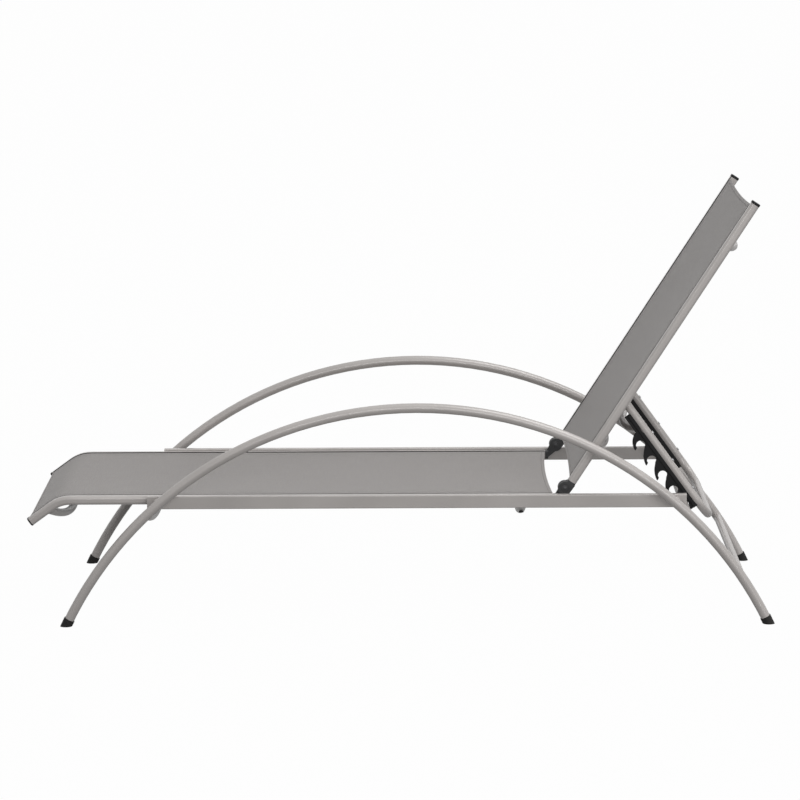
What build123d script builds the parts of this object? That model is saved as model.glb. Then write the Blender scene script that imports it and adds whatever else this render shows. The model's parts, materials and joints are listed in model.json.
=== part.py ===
from build123d import *
import math
import os

# Sun lounger with two arched side tubes, a stretched fabric seat and a reclining backrest.
# Millimetres and degrees, +X towards the head end, +Y towards the right-hand side of
# somebody lying on it, +Z up. Pieces are drawn with X zero at the middle of the arches
# and moved to the middle of the overall length when they are written.

# Arched side tubes, which are legs and armrests in one
bow_radius = 887.0
bow_apex_height = 501.5
bow_spacing = 615.0
bow_diameter = 22.0
bow_wall = 1.5
bow_overrun_angle = 2.0

# Rubber foot caps on the four arch ends
foot_cap_length = 18.0
foot_cap_wall = 1.4
foot_cap_base = 3.0

# Seat and backrest side tubes, with a fabric channel at the inner edge next to the fabric
sling_tube_size = 20.0
sling_tube_wall = 1.6
outer_corner = 7.0
inner_corner = 3.0
tube_inset = 60.0
channel_radius = 2.9
channel_depth = 5.0
slot_height = 2.8
sling_inset = 0.8
sling_thickness = 1.2
spline_radius = 2.6

# Seat frame
seat_level = 280.0
seat_rear = 311.0
foot_bend_reach = 813.0
foot_bend_radius = 75.0
foot_slope = 36.0
foot_leg = 82.5
seat_cap_thickness = 3.4
cap_proud = 0.4
cap_corner = 2.0
plug_length = 22.0

# Side rails outside the seat tubes
rail_height = 30.5
rail_thickness = 15.0
rail_wall = 1.5
rail_corner = 2.5
rail_top_rise = 3.5
rail_side_gap = 0.8
rail_overhang = 23.9
rail_plug_depth = 12.0

# Short round stubs that join the rails to the arches
bracket_diameter = 18.0

# Cross tubes, most of them bowed away from the fabric
cross_diameter = 18.0
cross_wall = 1.5
foot_cross_setback = 36.0
foot_cross_bow = 56.0
mid_cross_reach = 240.0
mid_cross_bow = 64.0
mid_cross_diameter = 22.0
front_cross_reach = 609.0
front_cross_bow = 45.0
front_cross_diameter = 22.0
catch_bar_diameter = 19.0
stretcher_height = 110.0
backrest_cross_bow = 40.0
backrest_cross_low = 118.0
backrest_cross_high = 659.0

# Drain plugs under the middle cross tube
drain_plug_spread = 350.0
drain_plug_diameter = 11.0
drain_plug_height = 3.0
drain_plug_pin_diameter = 6.0
drain_plug_pin_length = 5.0

# Backrest and its hinge
hinge_reach = 336.5
hinge_rise = 24.5
recline_angle = 57.2
backrest_offset = 6.4
backrest_start = 21.0
backrest_end = 772.0
backrest_cap_thickness = 5.5
knuckle_radius = 15.5
ear_thickness = 6.0
tongue_radius = 13.0
arm_lean = 24.0
tongue_gap = 0.3
collar_length = 7.0
knuckle_block = 8.0
hinge_bolt_diameter = 6.0
bolt_recess_diameter = 19.0
bolt_recess_depth = 1.6
bolt_head_diameter = 13.0
bolt_head_height = 1.3
hinge_nut_width = 10.0
hinge_nut_height = 4.0

# Fabric, set back from the tube ends and drawn in at its free edges
sling_end_setback = 5.0
seat_edge_draw = 8.0
backrest_edge_draw = 6.0

# U-shaped stand behind the backrest
pivot_reach = 237.0
pivot_drop = 3.0
stand_inset = 29.5
stand_diameter = 19.0
stand_wall = 1.5
stand_length = 338.5
stand_bend_radius = 60.0
stand_plug_length = 24.0
brace_reach = 79.0
brace_bow = 43.0
pivot_bolt_diameter = 8.0
pivot_head_diameter = 15.0
pivot_head_height = 4.5
pivot_boss_diameter = 16.0
pivot_boss_gap = 0.5
pivot_thread_depth = 8.5

# Toothed racks on the stand
rack_thickness = 9.0
rack_top = 32.0
spine_depth = 12.0
spine_width = 15.0
spine_wrap = 6.0
notch_count = 5
last_notch = 277.3
notch_pitch = 43.2
notch_line = 29.0
notch_radius = 10.5
rack_tail = 17.0
rack_tail_depth = 14.5
rack_corner = 2.5
rack_screw_count = 3
rack_screw_diameter = 4.0
rack_screw_head = 7.0
rack_screw_head_height = 1.0
rack_screw_bite = 5.0
flat_rest_gap = 0.8

# Clearances
fit_gap = 0.1
running_gap = 0.08
weld_gap = 0.3
soft_gap = 0.3
overrun = 5.0

# Places that follow from the sizes above
arch_centre_z = bow_apex_height - bow_radius
bow_y = bow_spacing / 2
tube_y = bow_y - tube_inset
half_tube = sling_tube_size / 2
inner_face_y = tube_y - half_tube
outer_face_y = tube_y + half_tube
stand_y = tube_y - stand_inset
room = 4 * bow_radius
hinge_z = seat_level + hinge_rise
rail_top = seat_level + half_tube + rail_top_rise
rail_z = rail_top - rail_height / 2
rail_inner_y = outer_face_y + rail_side_gap
rail_y = rail_inner_y + rail_thickness / 2
sling_offset = half_tube - sling_inset
sling_half_width = inner_face_y + sling_inset
channel_place = half_tube - channel_depth
cavity_edge = channel_place - channel_radius - sling_tube_wall


def arch_height(reach):
    return arch_centre_z + math.sqrt(bow_radius**2 - reach**2)


def arch_reach(height):
    return math.sqrt(bow_radius**2 - (height - arch_centre_z) ** 2)


def sagitta_radius(half_chord, sagitta):
    return (half_chord**2 + sagitta**2) / (2 * sagitta)


def mirrored(shape):
    return shape.mirror(Plane.XZ)


def ring(diameter, wall):
    return Circle(diameter / 2) - Circle(diameter / 2 - wall)


def rod_along_y(radius, y_low, y_high, x=0, z=0):
    length = y_high - y_low
    middle = (y_low + y_high) / 2
    return Pos(x, middle, z) * Rot(90, 0, 0) * Cylinder(radius, length)


def above(height):
    return Pos(0, 0, height + room / 2) * Box(room, room, room)


def between(y_limit):
    return Box(room, 2 * y_limit, room)


# Side arches

def arch_band(section, start_angle, end_angle, y):
    # A section drawn at the top of the arch, turned about the arch centre.
    top = Plane(origin=(0, y, bow_apex_height), x_dir=(0, 1, 0), z_dir=(1, 0, 0))
    axis = Axis((0, y, arch_centre_z), (0, 1, 0))
    band = revolve(top * section, axis=axis, revolution_arc=end_angle - start_angle)
    return band.rotate(axis, start_angle)


foot_angle = math.degrees(math.acos(-arch_centre_z / bow_radius))
cap_angle = math.degrees(foot_cap_length / bow_radius)


def whole_arch(diameter, y):
    reach = foot_angle + bow_overrun_angle
    return arch_band(Circle(diameter / 2), -reach, reach, y)


def make_bow():
    reach = foot_angle + bow_overrun_angle
    tube = arch_band(ring(bow_diameter, bow_wall), -reach, reach, bow_y)
    return tube & above(foot_cap_base)


def make_foot_cap():
    outer = Circle(bow_diameter / 2 + foot_cap_wall)
    start = foot_angle - cap_angle
    cap = arch_band(outer, start, foot_angle + bow_overrun_angle, bow_y) & above(0)
    bore = whole_arch(bow_diameter + 2 * fit_gap, bow_y) & above(foot_cap_base - fit_gap)
    return cap - bore


# Side rails and what joins them to the arches

rail_half_length = arch_reach(rail_z) + rail_overhang


def straight_bar(diameter, reach, height, wall=0):
    section = ring(diameter, wall) if wall else Circle(diameter / 2)
    return extrude(Plane.XZ * Pos(reach, height) * section, amount=bow_y, both=True)


def bowed_bar(diameter, wall, half_span, bow):
    # A bar along Y through (0, 0) at its ends, dropping by the bow at mid-span.
    radius = sagitta_radius(half_span + overrun, bow)
    lowest = Plane(origin=(0, 0, -bow), x_dir=(1, 0, 0), z_dir=(0, 1, 0))
    section = ring(diameter, wall) if wall else Circle(diameter / 2)
    half_angle = math.degrees(math.asin((half_span + overrun) / radius))
    axis = Axis((0, 0, radius - bow), (1, 0, 0))
    bar = revolve(lowest * section, axis=axis, revolution_arc=2 * half_angle)
    return bar.rotate(axis, -half_angle)


def cross_drop(diameter):
    # How far a cross tube hangs below the side tubes' centreline to clear the fabric.
    return diameter / 2 + sling_thickness / 2 + 2 * soft_gap - sling_offset


def cross_tube(bow, diameter=cross_diameter):
    # Ends cut flat where they meet the inner faces of the two side tubes.
    bar = bowed_bar(diameter, cross_wall, inner_face_y, bow)
    return Pos(0, 0, -cross_drop(diameter)) * bar & between(inner_face_y)


def front_cross_solid(diameter, wall=0):
    bar = bowed_bar(diameter, wall, bow_y, front_cross_bow)
    return Pos(-front_cross_reach, 0, arch_height(front_cross_reach)) * bar & between(bow_y)


def between_arches(bar):
    bar = bar - whole_arch(bow_diameter + 2 * weld_gap, bow_y)
    return bar - whole_arch(bow_diameter + 2 * weld_gap, -bow_y)


def crossing(centre_x, centre_z, radius, other_x, other_z, other_radius):
    # Where two circles meet on the head side of the line from the first to the second.
    apart = math.hypot(other_x - centre_x, other_z - centre_z)
    along = (radius**2 - other_radius**2 + apart**2) / (2 * apart)
    aside = math.sqrt(radius**2 - along**2)
    step_x = (other_x - centre_x) / apart
    step_z = (other_z - centre_z) / apart
    return centre_x + along * step_x + aside * step_z, centre_z + along * step_z - aside * step_x


# The catch bar lies on the arches, where the last notch of the raised stand reaches it
recline = math.radians(recline_angle)
pivot_offset = backrest_offset + pivot_drop
pivot_x = hinge_reach + pivot_reach * math.cos(recline) + pivot_offset * math.sin(recline)
pivot_z = hinge_z + pivot_reach * math.sin(recline) - pivot_offset * math.cos(recline)
catch_arm = math.hypot(last_notch, notch_line)
catch_bar_reach, catch_bar_z = crossing(0, arch_centre_z, bow_radius, pivot_x, pivot_z, catch_arm)
stretcher_reach = arch_reach(stretcher_height)


def make_front_cross():
    return between_arches(front_cross_solid(front_cross_diameter, cross_wall))


def make_catch_bar():
    bar = straight_bar(catch_bar_diameter, catch_bar_reach, catch_bar_z, cross_wall)
    return between_arches(bar)


def make_stretcher():
    bar = straight_bar(cross_diameter, stretcher_reach, stretcher_height, cross_wall)
    return between_arches(bar)


def saddles():
    bar = straight_bar(catch_bar_diameter + 2 * weld_gap, catch_bar_reach, catch_bar_z)
    return bar + front_cross_solid(front_cross_diameter + 2 * weld_gap)


def make_rail():
    outer = RectangleRounded(rail_thickness, rail_height, rail_corner)
    hollow_corner = rail_corner - rail_wall
    hollow = RectangleRounded(rail_thickness - 2 * rail_wall, rail_height - 2 * rail_wall, hollow_corner)
    section = Plane.YZ * Pos(rail_y, rail_z) * (outer - hollow)
    return extrude(section, amount=rail_half_length, both=True) - saddles()


def make_rail_plug():
    width = rail_thickness - 2 * rail_wall - 2 * fit_gap
    height = rail_height - 2 * rail_wall - 2 * fit_gap
    section = Plane.YZ * Pos(rail_y, rail_z) * RectangleRounded(width, height, rail_corner - rail_wall)
    plug = extrude(section, amount=rail_plug_depth)
    plug = Pos(rail_half_length - rail_plug_depth, 0, 0) * plug
    return plug - saddles()


def make_bow_bracket():
    # A stub of round tube from the rail's outer face, coped to the arch.
    place = (arch_reach(rail_z), rail_z)
    rail_face_y = rail_inner_y + rail_thickness
    stub = rod_along_y(bracket_diameter / 2, rail_face_y, bow_y, *place)
    stub = stub - rod_along_y(bracket_diameter / 2 - cross_wall, rail_face_y, bow_y, *place)
    return stub - whole_arch(bow_diameter + 2 * weld_gap, bow_y)


# Side tubes with their fabric channel

def tube_outline(inset=0):
    # Square with well rounded outer corners, x pointing outwards and y towards the fabric side.
    size = sling_tube_size - 2 * inset
    outline = Rectangle(size, size)
    outline = fillet(outline.vertices().sort_by(Axis.X)[-2:], outer_corner - inset)
    return fillet(outline.vertices().sort_by(Axis.X)[:2], inner_corner - inset)


def below(height):
    return Pos(0, height - sling_tube_size) * Rectangle(2 * sling_tube_size, 2 * sling_tube_size)


def tube_section():
    # The channel opens through a slanted slot at the edge next to the fabric.
    outline = tube_outline()
    block = Pos(-cavity_edge - sling_tube_size, cavity_edge + sling_tube_size) * Rectangle(
        2 * sling_tube_size, 2 * sling_tube_size
    )
    channel = Pos(-channel_place, channel_place) * Circle(channel_radius)
    slot_length = 2 * channel_depth + overrun
    slot = Rot(0, 0, 135) * Pos(slot_length / 2, 0) * Rectangle(slot_length, slot_height)
    slot = Pos(-channel_place, channel_place) * slot
    return outline - (tube_outline(sling_tube_wall) - block) - channel - slot


def tube_plug(length):
    section = tube_outline(sling_tube_wall + fit_gap) & below(cavity_edge - fit_gap)
    return extrude(Plane.YZ * Pos(tube_y, 0) * section, amount=length)


def end_cap(thickness):
    # Outer face looks along +X; the plug reaches back into the tube.
    cap = extrude(Plane.YZ * Pos(tube_y, 0) * tube_outline(-cap_proud), amount=thickness)
    cap = fillet(cap.faces().sort_by(Axis.X)[-1].edges(), cap_proud * cap_corner)
    return cap + Pos(-plug_length, 0, 0) * tube_plug(plug_length)


def sling_section():
    # Flat sheet whose edges turn down through the slots to just short of the splines.
    sheet = Pos(0, sling_offset) * Rectangle(2 * sling_half_width, sling_thickness)
    tongue_length = (channel_depth - sling_inset) * math.sqrt(2) - spline_radius - soft_gap
    tongue = Pos(tongue_length / 2, 0) * Rectangle(tongue_length, sling_thickness)
    edge = Rot(0, 0, -45) * tongue + Circle(sling_thickness / 2)
    edge = Pos(sling_half_width, sling_offset) * edge
    return sheet + edge + edge.mirror(Plane.YZ)


slope = math.radians(foot_slope)
foot_end_x = -foot_bend_reach - foot_leg * math.cos(slope)
foot_end_z = seat_level - foot_leg * math.sin(slope)


def seat_path(y, rear, leg):
    end_x = -foot_bend_reach - leg * math.cos(slope)
    end_z = seat_level - leg * math.sin(slope)
    points = [(rear, y, seat_level), (-foot_bend_reach, y, seat_level), (end_x, y, end_z)]
    return FilletPolyline(*points, radius=foot_bend_radius)


def along_seat(section, y=0, rear=seat_rear, leg=foot_leg):
    start = Plane(origin=(rear, y, seat_level), x_dir=(0, 1, 0), z_dir=(1, 0, 0))
    return sweep(start * section, path=seat_path(y, rear, leg))


def make_seat_tube():
    return along_seat(tube_section(), tube_y)


def make_seat_spline():
    rod = Pos(-channel_place, channel_place) * Circle(spline_radius)
    return along_seat(rod, tube_y, seat_rear - sling_end_setback, foot_leg - sling_end_setback)


def make_seat_cap():
    cap = end_cap(seat_cap_thickness).mirror(Plane.YZ)
    return Pos(foot_end_x, 0, foot_end_z) * Rot(0, -foot_slope, 0) * cap


def edge_draw_cut(edge_x, draw, direction):
    # A large upright cylinder that takes a shallow hollow out of a free fabric edge.
    radius = sagitta_radius(sling_half_width, draw)
    return Pos(edge_x + direction * (radius - draw), 0, 0) * Cylinder(radius, room)


def make_seat_sling():
    rear = seat_rear - sling_end_setback + seat_edge_draw / 2
    sheet = along_seat(sling_section(), 0, rear, foot_leg - sling_end_setback)
    return sheet - edge_draw_cut(rear, seat_edge_draw, 1)


def make_foot_cross():
    x = -foot_bend_reach - foot_cross_setback * math.cos(slope)
    z = seat_level - foot_cross_setback * math.sin(slope)
    return Pos(x, 0, z) * Rot(0, -foot_slope, 0) * cross_tube(foot_cross_bow)


def make_mid_cross():
    bar = Pos(mid_cross_reach, 0, seat_level) * cross_tube(mid_cross_bow, mid_cross_diameter)
    return bar - drain_plugs(fit_gap)


def drain_plugs(grow=0):
    # Buttons pressed into holes on the underside of the bowed tube, square to it.
    radius = sagitta_radius(inner_face_y + overrun, mid_cross_bow)
    tilt = math.degrees(math.asin(drain_plug_spread / 2 / radius))
    head = Cylinder(drain_plug_diameter / 2, drain_plug_height)
    head_z = -mid_cross_diameter / 2 - drain_plug_height / 2 - weld_gap
    pin_radius = drain_plug_pin_diameter / 2 + grow
    pin_length = drain_plug_pin_length + drain_plug_height
    pin_z = drain_plug_pin_length / 2 - mid_cross_diameter / 2 - drain_plug_height / 2
    pin = Pos(0, 0, pin_z) * Cylinder(pin_radius, pin_length)
    plug = Pos(0, 0, head_z) * head + pin
    centre_z = seat_level - cross_drop(mid_cross_diameter) - mid_cross_bow + radius
    centre = Pos(mid_cross_reach, 0, centre_z)
    places = [Rot(side * tilt, 0, 0) * Pos(0, 0, -radius) for side in (-1, 1)]
    return Part() + [centre * place * plug for place in places]


# Backrest hinge: a tongue on the seat side between two ears on the backrest side

ear_inner_low = inner_face_y + ear_thickness
ear_inner_high = outer_face_y - ear_thickness


def make_lower_knuckle():
    block_section = Plane.YZ * Pos(tube_y, seat_level) * tube_outline()
    block = Pos(seat_rear, 0, 0) * extrude(block_section, amount=knuckle_block)
    plug = Pos(seat_rear - plug_length, 0, seat_level) * tube_plug(plug_length)
    tongue_low = ear_inner_low + tongue_gap
    tongue_high = ear_inner_high - tongue_gap
    disc = rod_along_y(tongue_radius, tongue_low, tongue_high, hinge_reach, hinge_z)
    root_x = seat_rear + knuckle_block / 2
    web_points = [
        (root_x, seat_level - half_tube),
        (hinge_reach + tongue_radius / 2, hinge_z - tongue_radius * math.cos(math.radians(30))),
        (hinge_reach, hinge_z),
        (hinge_reach - tongue_radius / 2, hinge_z + tongue_radius * math.cos(math.radians(30))),
        (root_x, seat_level + half_tube),
    ]
    web_face = Plane.XZ * make_face(Polyline(*web_points, close=True))
    web = extrude(web_face, amount=(tongue_high - tongue_low) / 2, both=True)
    web = Pos(0, tube_y, 0) * web
    bore_radius = hinge_bolt_diameter / 2 + running_gap
    bore = rod_along_y(bore_radius, inner_face_y, outer_face_y, hinge_reach, hinge_z)
    return block + plug + web + disc - bore


def make_upper_knuckle():
    # Drawn with the backrest lying flat and the hinge axis at the origin.
    collar_x = backrest_start - collar_length
    collar_face = Plane.YZ * Pos(tube_y, -backrest_offset) * tube_outline()
    collar = Pos(collar_x, 0, 0) * extrude(collar_face, amount=collar_length)
    plug = Pos(backrest_start, 0, -backrest_offset) * tube_plug(plug_length)
    knuckle = collar + plug
    low = half_tube + backrest_offset
    high = half_tube - backrest_offset
    lean = math.radians(arm_lean)
    arm_points = [
        (0, -knuckle_radius),
        (collar_x + collar_length / 2, -low),
        (collar_x + collar_length / 2, high),
        (knuckle_radius * math.cos(lean), knuckle_radius * math.sin(lean)),
        (0, 0),
    ]
    arm_face = Plane.XZ * make_face(Polyline(*arm_points, close=True))
    arm = extrude(arm_face, amount=ear_thickness / 2, both=True)
    for y_low in (inner_face_y, ear_inner_high):
        ear = rod_along_y(knuckle_radius, y_low, y_low + ear_thickness)
        knuckle = knuckle + ear + Pos(0, y_low + ear_thickness / 2, 0) * arm
    bore = rod_along_y(hinge_bolt_diameter / 2 + running_gap, inner_face_y, outer_face_y)
    recess_low = outer_face_y - bolt_recess_depth
    recess = rod_along_y(bolt_recess_diameter / 2, recess_low, outer_face_y)
    return knuckle - bore - recess


def make_hinge_bolt():
    head_low = outer_face_y - bolt_recess_depth
    head = rod_along_y(bolt_head_diameter / 2, head_low, head_low + bolt_head_height)
    nut_low = inner_face_y - hinge_nut_height
    shank = rod_along_y(hinge_bolt_diameter / 2, nut_low, head_low)
    nut_face = Plane.XZ * RegularPolygon(hinge_nut_width / 2, 6, major_radius=False)
    nut = Pos(0, inner_face_y, 0) * extrude(nut_face, amount=hinge_nut_height)
    return head + shank + nut


# Backrest, drawn lying flat with the hinge axis at the origin

def along_backrest(section, start, end, y=0):
    face = Plane.YZ * Pos(y, -backrest_offset) * section
    return Pos(start, 0, 0) * extrude(face, amount=end - start)


def make_backrest_tube():
    return along_backrest(tube_section(), backrest_start, backrest_end, tube_y)


def make_backrest_spline():
    rod = Pos(-channel_place, channel_place) * Circle(spline_radius)
    start = backrest_start + sling_end_setback
    return along_backrest(rod, start, backrest_end - sling_end_setback, tube_y)


def make_backrest_cap():
    return Pos(backrest_end, 0, -backrest_offset) * end_cap(backrest_cap_thickness)


def make_backrest_sling():
    start = backrest_start + sling_end_setback
    end = backrest_end - sling_end_setback
    sheet = along_backrest(sling_section(), start, end)
    sheet = sheet - edge_draw_cut(end, backrest_edge_draw, 1)
    return sheet - edge_draw_cut(start, backrest_edge_draw, -1)


def make_backrest_cross(reach):
    return Pos(reach, 0, -backrest_offset) * cross_tube(backrest_cross_bow)


# Stand pivots, behind the centreline of the backrest tubes
leg_outer_y = stand_y + stand_diameter / 2
leg_inner_y = stand_y - stand_diameter / 2
boss_low = leg_outer_y + pivot_boss_gap
thread_high = boss_low + pivot_thread_depth


def make_pivot_boss():
    boss = rod_along_y(pivot_boss_diameter / 2, boss_low, inner_face_y)
    bore = rod_along_y(pivot_bolt_diameter / 2 + fit_gap, boss_low, thread_high + fit_gap)
    return Pos(pivot_reach, 0, -pivot_offset) * (boss - bore)


def make_pivot_bolt():
    shank = rod_along_y(pivot_bolt_diameter / 2, leg_inner_y - weld_gap, thread_high)
    head_high = leg_inner_y - weld_gap
    head = rod_along_y(pivot_head_diameter / 2, head_high - pivot_head_height, head_high)
    return Pos(pivot_reach, 0, -pivot_offset) * (shank + head)


# Stand, drawn with its pivot at the origin, its legs along +X and its teeth below

def stand_points():
    head = -stand_diameter / 2
    return [(head, -stand_y, 0), (stand_length, -stand_y, 0), (stand_length, stand_y, 0), (head, stand_y, 0)]


def stand_solid(diameter, wall=0):
    section = ring(diameter, wall) if wall else Circle(diameter / 2)
    start = Plane(origin=stand_points()[0], x_dir=(0, 1, 0), z_dir=(1, 0, 0))
    path = FilletPolyline(*stand_points(), radius=stand_bend_radius)
    return sweep(start * section, path=path)


def pivot_rod(radius):
    return rod_along_y(radius, -stand_y - stand_diameter, stand_y + stand_diameter)


def rounded_end(shape):
    # Trims the leg ends to a half round about the pivot axis.
    behind = Pos(-room / 2, 0, 0) * Box(room, room, room)
    return shape - (behind - pivot_rod(stand_diameter / 2))


def make_stand():
    frame = rounded_end(stand_solid(stand_diameter, stand_wall))
    frame = frame - pivot_rod(pivot_bolt_diameter / 2 + running_gap)
    return frame - rack_screws(fit_gap) - mirrored(rack_screws(fit_gap))


def make_stand_plug():
    # Bush inside the open end of a leg, with the pivot bore through it.
    radius = stand_diameter / 2 - stand_wall - fit_gap
    face = Plane.YZ * Pos(stand_y, 0) * Circle(radius)
    plug = Pos(-stand_diameter / 2, 0, 0) * extrude(face, amount=stand_plug_length)
    return rounded_end(plug) - pivot_rod(pivot_bolt_diameter / 2 + running_gap)


def brace_bar(diameter, wall=0):
    return Pos(brace_reach, 0, 0) * bowed_bar(diameter, wall, stand_y, brace_bow)


def make_brace():
    bar = brace_bar(cross_diameter, cross_wall) & between(stand_y)
    return bar - stand_solid(stand_diameter + 2 * weld_gap)


# The stand's angle follows from how far the catch bar lies off its centreline


def stand_angle(from_x, from_z, line):
    dx = catch_bar_reach - from_x
    dz = catch_bar_z - from_z
    along = math.sqrt(dx**2 + dz**2 - line**2)
    return math.degrees(math.atan2(dz, dx) + math.atan2(line, along))


stand_rest_angle = stand_angle(pivot_x, pivot_z, notch_line)
spine_line = stand_diameter / 2 + spine_depth + catch_bar_diameter / 2 + flat_rest_gap
stand_flat_angle = stand_angle(hinge_reach + pivot_reach, hinge_z - pivot_offset, spine_line)
stand_fold = stand_flat_angle - stand_rest_angle + recline_angle

# Hook shape, in shares of the notch pitch from each notch centre: along the rack, then outwards
hook_start_shares = (-0.67, 0.0)
hook_back_shares = (-0.395, 0.24)
hook_tip_shares = (0.03, 0.405)
hook_inner_shares = (0.078, 0.38)
hook_root_angle = 88.0
wall_angle = -21.0


def rack_outline():
    # Points are (along the rack, height), with the teeth pointing down.
    def at(centre, shares):
        along = centre + shares[0] * notch_pitch
        return (along, -notch_line - shares[1] * notch_pitch)

    def on_circle(centre, angle):
        turn = math.radians(angle)
        return (centre + notch_radius * math.cos(turn), -notch_line - notch_radius * math.sin(turn))

    base = -stand_diameter / 2 - fit_gap
    spine = -stand_diameter / 2 - spine_depth
    tail = last_notch + rack_tail
    tail_low = -stand_diameter / 2 - rack_tail_depth
    centres = [last_notch - notch_pitch * (notch_count - 1 - k) for k in range(notch_count)]
    first = (centres[0] + hook_start_shares[0] * notch_pitch, spine)
    edges = [Line((rack_top, base), (rack_top, spine)), Line((rack_top, spine), first)]
    corner = first
    for centre in centres:
        start = first if centre == centres[0] else at(centre, hook_start_shares)
        if corner != start:
            edges.append(Line(corner, start))
        tip = at(centre, hook_tip_shares)
        inner = at(centre, hook_inner_shares)
        root = on_circle(centre, hook_root_angle)
        corner = on_circle(centre, wall_angle)
        edges.append(ThreePointArc(start, at(centre, hook_back_shares), tip))
        edges.append(Line(tip, inner))
        edges.append(Line(inner, root))
        far_side = on_circle(centre, (hook_root_angle + wall_angle) / 2 + 180)
        edges.append(ThreePointArc(root, far_side, corner))
    edges.append(Line(corner, (tail, tail_low)))
    edges.append(Line((tail, tail_low), (tail, base)))
    edges.append(Line((tail, base), (rack_top, base)))
    return make_face(edges)


def make_rack():
    plate = extrude(Plane.XZ * rack_outline(), amount=rack_thickness / 2, both=True)
    spine_high = -stand_diameter / 2 + spine_wrap
    spine_low = -stand_diameter / 2 - spine_wrap
    spine_face = Plane.YZ * Pos(0, (spine_high + spine_low) / 2) * RectangleRounded(
        spine_width, spine_high - spine_low, rack_corner
    )
    length = last_notch + rack_tail - rack_top
    spine = Pos(rack_top, 0, 0) * extrude(spine_face, amount=length)
    rack = Pos(0, stand_y, 0) * (plate + spine)
    rack = rack - brace_bar(cross_diameter + 2 * weld_gap)
    return rack - stand_solid(stand_diameter + 2 * fit_gap) - rack_screws(fit_gap)


def rack_screws(grow=0):
    # Low-headed screws through each leg from behind into the rack.
    first = brace_reach + cross_diameter
    spacing = (last_notch - notch_pitch / 2 - first) / (rack_screw_count - 1)
    shank_low = -stand_diameter / 2 - rack_screw_bite
    shank_high = stand_diameter / 2 + weld_gap
    shank_length = shank_high - shank_low
    shank_z = (shank_high + shank_low) / 2
    shank = Pos(0, 0, shank_z) * Cylinder(rack_screw_diameter / 2 + grow, shank_length)
    head_z = shank_high + rack_screw_head_height / 2
    head = Pos(0, 0, head_z) * Cylinder(rack_screw_head / 2, rack_screw_head_height)
    screws = [Pos(first + spacing * k, stand_y, 0) * (shank + head) for k in range(rack_screw_count)]
    return Part() + screws


# Everything in place

on_base = Pos(0, 0, 0)
on_hinge = Pos(hinge_reach, 0, hinge_z)
on_backrest = on_hinge * Rot(0, -recline_angle, 0)
on_stand = Pos(pivot_x, 0, pivot_z) * Rot(0, -stand_rest_angle, 0)

pairs = {
    "bow": (make_bow(), on_base),
    "rear_foot_cap": (make_foot_cap(), on_base),
    "front_foot_cap": (make_foot_cap().mirror(Plane.YZ), on_base),
    "side_rail": (make_rail(), on_base),
    "rear_bow_bracket": (make_bow_bracket(), on_base),
    "front_bow_bracket": (make_bow_bracket().mirror(Plane.YZ), on_base),
    "seat_tube": (make_seat_tube(), on_base),
    "seat_tube_cap": (make_seat_cap(), on_base),
    "seat_spline": (make_seat_spline(), on_base),
    "lower_knuckle": (make_lower_knuckle(), on_base),
    "upper_knuckle": (make_upper_knuckle(), on_backrest),
    "hinge_bolt": (make_hinge_bolt(), on_backrest),
    "backrest_tube": (make_backrest_tube(), on_backrest),
    "backrest_cap": (make_backrest_cap(), on_backrest),
    "backrest_spline": (make_backrest_spline(), on_backrest),
    "pivot_boss": (make_pivot_boss(), on_backrest),
    "pivot_bolt": (make_pivot_bolt(), on_backrest),
    "stand_plug": (make_stand_plug(), on_stand),
    "rack": (make_rack(), on_stand),
    "rack_screws": (rack_screws(), on_stand),
}

rail_plugs = make_rail_plug()
rail_plugs = rail_plugs + rail_plugs.mirror(Plane.YZ)

singles = {
    "rail_end_plugs": (rail_plugs + mirrored(rail_plugs), on_base),
    "foot_cross_tube": (make_foot_cross(), on_base),
    "front_cross_tube": (make_front_cross(), on_base),
    "mid_cross_tube": (make_mid_cross(), on_base),
    "mid_tube_drain_plugs": (drain_plugs(), on_base),
    "catch_bar": (make_catch_bar(), on_base),
    "rear_stretcher": (make_stretcher(), on_base),
    "seat_sling": (make_seat_sling(), on_base),
    "backrest_sling": (make_backrest_sling(), on_backrest),
    "lower_backrest_cross_tube": (make_backrest_cross(backrest_cross_low), on_backrest),
    "upper_backrest_cross_tube": (make_backrest_cross(backrest_cross_high), on_backrest),
    "stand_tube": (make_stand(), on_stand),
    "stand_brace": (make_brace(), on_stand),
}

nodes = {}
for name, (shape, place) in pairs.items():
    nodes["right_" + name] = place * shape
    nodes["left_" + name] = place * mirrored(shape)
for name, (shape, place) in singles.items():
    nodes[name] = place * shape

foot_side = nodes["left_seat_tube_cap"].bounding_box().min.X
head_side = nodes["left_rear_foot_cap"].bounding_box().max.X
to_middle = Pos(-(foot_side + head_side) / 2, 0, 0)

os.makedirs("parts", exist_ok=True)
for name, shape in nodes.items():
    export_step(to_middle * shape, "parts/" + name + ".step")

shift = -(foot_side + head_side) / 2
print("nodes", len(nodes), "origin shift", round(shift, 4))
print("hinge axis at", round(hinge_reach + shift, 4), round(hinge_z, 4))
print("pivot axis at", round(pivot_x + shift, 4), round(pivot_z, 4))
print("stand rest and flat angles", round(stand_rest_angle, 4), round(stand_flat_angle, 4))
print("stand fold for the whole recline", round(stand_fold, 4), "ratio", round(-stand_fold / recline_angle, 5))
print("catch bar at", round(catch_bar_reach + shift, 4), round(catch_bar_z, 4))
print("last notch along the stand", round(last_notch, 3))
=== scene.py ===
import json
import math
import random
import bpy
from mathutils import Matrix, Vector


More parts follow.
